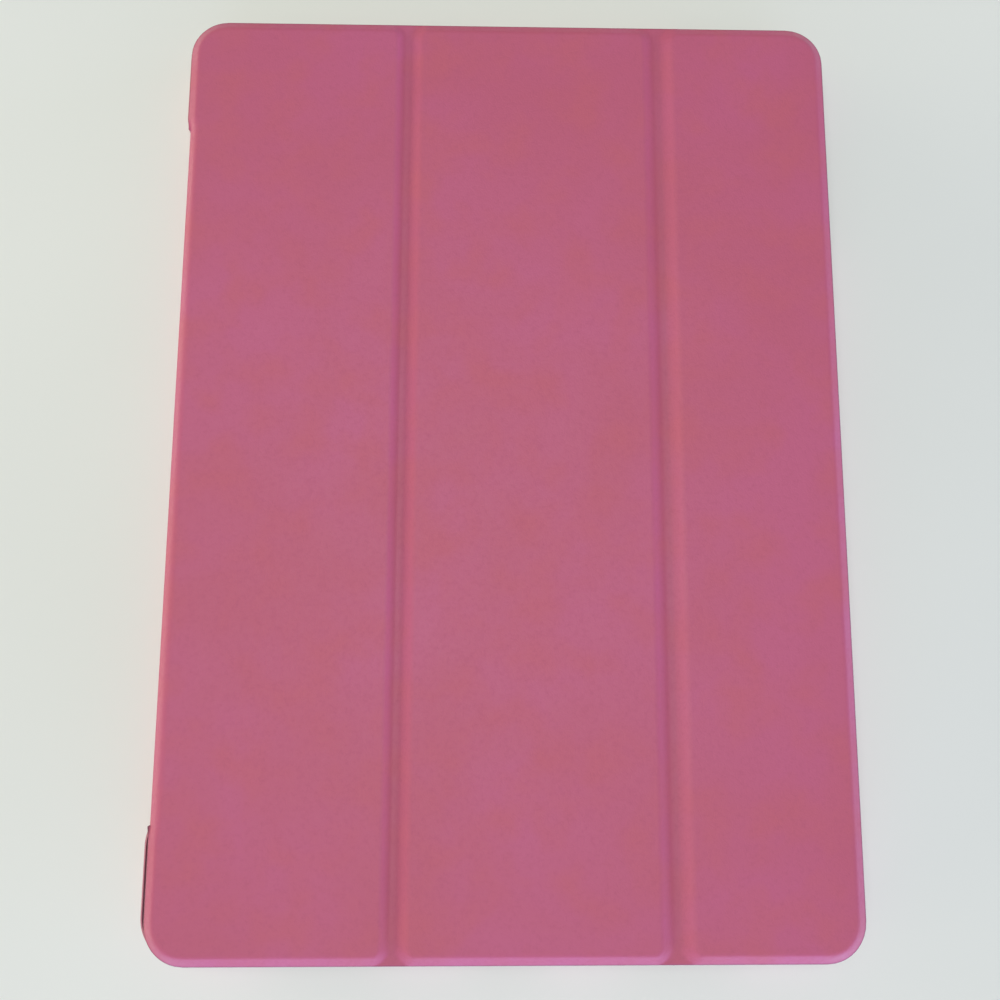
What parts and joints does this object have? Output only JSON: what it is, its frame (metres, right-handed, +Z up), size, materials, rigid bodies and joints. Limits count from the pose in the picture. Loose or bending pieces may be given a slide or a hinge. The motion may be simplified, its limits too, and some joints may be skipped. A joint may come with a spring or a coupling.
{
  "type": "tablet case",
  "caption": "Folding book case for a slim tablet: a hard back shell with corner grips and a padded leatherette cover that folds along creases into a stand.",
  "frame": {"origin": "on the resting face, below the centre of the closed case's box", "axes": "+X from the spine to the free edge, +Y towards the top edge, +Z up through the closed cover"},
  "size_m": [0.1748, 0.2444, 0.0128],
  "materials": {
    "skin": "soft matte, fine pressed grain",
    "lining": "short brushed microfibre",
    "shell_plastic": "fine matte moulded texture",
    "board": "pressed fibre board",
    "tape": "adhesive film",
    "steel": "thin rolled strip",
    "nickel": "plated"
  },
  "bodies": {
    "shell": {"back_shell": "shell_plastic", "strip_skin": "skin", "strip_lining": "lining", "strip_tape": "tape"},
    "spine": {"spine_skin": "skin", "spine_stiffener": "board", "spine_lining": "lining"},
    "panel_1": {"panel_1_skin": "skin", "panel_1_board": "board", "panel_1_lining": "lining", "stand_plate": "steel", "crease_1_skin": "skin", "crease_1_lining": "lining"},
    "panel_2": {"panel_2_skin": "skin", "panel_2_board": "board", "panel_2_lining": "lining", "crease_2_skin": "skin", "crease_2_lining": "lining"},
    "panel_3": {"panel_3_skin": "skin", "panel_3_board": "board", "panel_3_lining": "lining", "closing_magnets": "nickel", "wake_magnet": "nickel"}
  },
  "joints": [
    {"name": "cover_open", "type": "hinge", "parent": "shell", "child": "spine", "pos_m": [-0.08671, 0, 0], "axis": [0, -1, 0], "range_deg": [0, 90]},
    {"name": "spine_front", "type": "hinge", "parent": "spine", "child": "panel_1", "pos_m": [-0.08553, 0, 0.01163], "axis": [0, -1, 0], "range_deg": [0, 90]},
    {"name": "crease_1_fold", "type": "hinge", "parent": "panel_1", "child": "panel_2", "pos_m": [-0.02671, -0.00009, 0.0111], "axis": [0.0031, -1, 0], "range_deg": [-137.1, 0]},
    {"name": "crease_2_fold", "type": "hinge", "parent": "panel_2", "child": "panel_3", "pos_m": [0.04129, 0.00013, 0.0111], "axis": [0.0031, -1, 0], "range_deg": [-123.8, 0]}
  ],
  "couplings": [
    {"joint": "spine_front", "follows": "cover_open", "ratio": 1},
    {"joint": "crease_1_fold", "follows": "cover_open", "ratio": -1.5233},
    {"joint": "crease_2_fold", "follows": "cover_open", "ratio": -1.3756}
  ]
}
